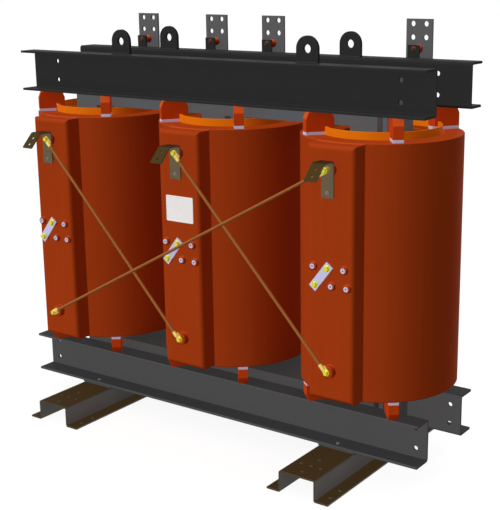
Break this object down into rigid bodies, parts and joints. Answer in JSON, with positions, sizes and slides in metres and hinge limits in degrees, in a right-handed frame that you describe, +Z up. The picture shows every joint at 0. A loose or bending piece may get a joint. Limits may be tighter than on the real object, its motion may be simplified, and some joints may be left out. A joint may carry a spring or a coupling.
{
  "type": "dry cast-resin power transformer",
  "caption": "Dry cast-resin power transformer: orange-red coils with front terminal blocks on a stepped core, clamped by channel beams, on skids, with rear bars.",
  "frame": {"origin": "on the floor at the middle of the plan", "axes": "+X along the row of coils, +Y to the low-voltage side at the rear, +Z up"},
  "size_m": [1.6918, 0.842, 1.447],
  "materials": {
    "skid_paint": "satin paint on folded sheet",
    "lower_beam_paint": "satin dark grey paint on folded plate",
    "upper_beam_paint": "satin near-black paint on folded plate",
    "core_paint": "grey varnish over stacked sheet edges",
    "cast_resin": "smooth orange-red casting resin",
    "barrier_laminate": "wound glass laminate, orange-yellow",
    "support_resin": "moulded resin",
    "pad_rubber": "pale silicone rubber",
    "bar_aluminium": "mill finish flat bar",
    "strip_metal": "plated flat strip",
    "stud_metal": "bright plated inserts and links",
    "yellow_plating": "yellow passivated zinc plating",
    "rod_copper": "lacquered copper rod"
  },
  "bodies": {
    "root": {"skid_left": "skid_paint", "skid_right": "skid_paint", "skid_spacers": "lower_beam_paint", "bottom_beam_front": "lower_beam_paint", "top_beam_front": "upper_beam_paint", "bottom_beam_rear": "lower_beam_paint", "top_beam_rear": "upper_beam_paint", "core_bottom_yoke": "core_paint", "core_top_yoke": "core_paint", "core_limb_left": "core_paint", "lv_coil_left": "cast_resin", "barrier_left": "barrier_laminate", "hv_coil_left": "cast_resin", "bottom_supports_left": "support_resin", "top_supports_left": "support_resin", "lv_bar_left": "bar_aluminium", "hv_terminal_left": "strip_metal", "core_limb_middle": "core_paint", "lv_coil_middle": "cast_resin", "barrier_middle": "barrier_laminate", "hv_coil_middle": "cast_resin", "bottom_supports_middle": "support_resin", "top_supports_middle": "support_resin", "lv_bar_middle": "bar_aluminium", "hv_terminal_middle": "strip_metal", "core_limb_right": "core_paint", "lv_coil_right": "cast_resin", "barrier_right": "barrier_laminate", "hv_coil_right": "cast_resin", "bottom_supports_right": "support_resin", "top_supports_right": "support_resin", "lv_bar_right": "bar_aluminium", "hv_terminal_right": "strip_metal", "coil_pads": "pad_rubber", "lifting_lugs": "upper_beam_paint", "lv_neutral_bar": "bar_aluminium", "lv_star_bar": "bar_aluminium", "lv_brackets": "upper_beam_paint", "lv_insulators": "support_resin", "tap_inserts": "stud_metal", "tap_links": "stud_metal", "delta_rod_left": "rod_copper", "delta_rod_right": "rod_copper", "delta_rod_cross": "rod_copper", "rod_lugs": "yellow_plating"}
  },
  "joints": []
}
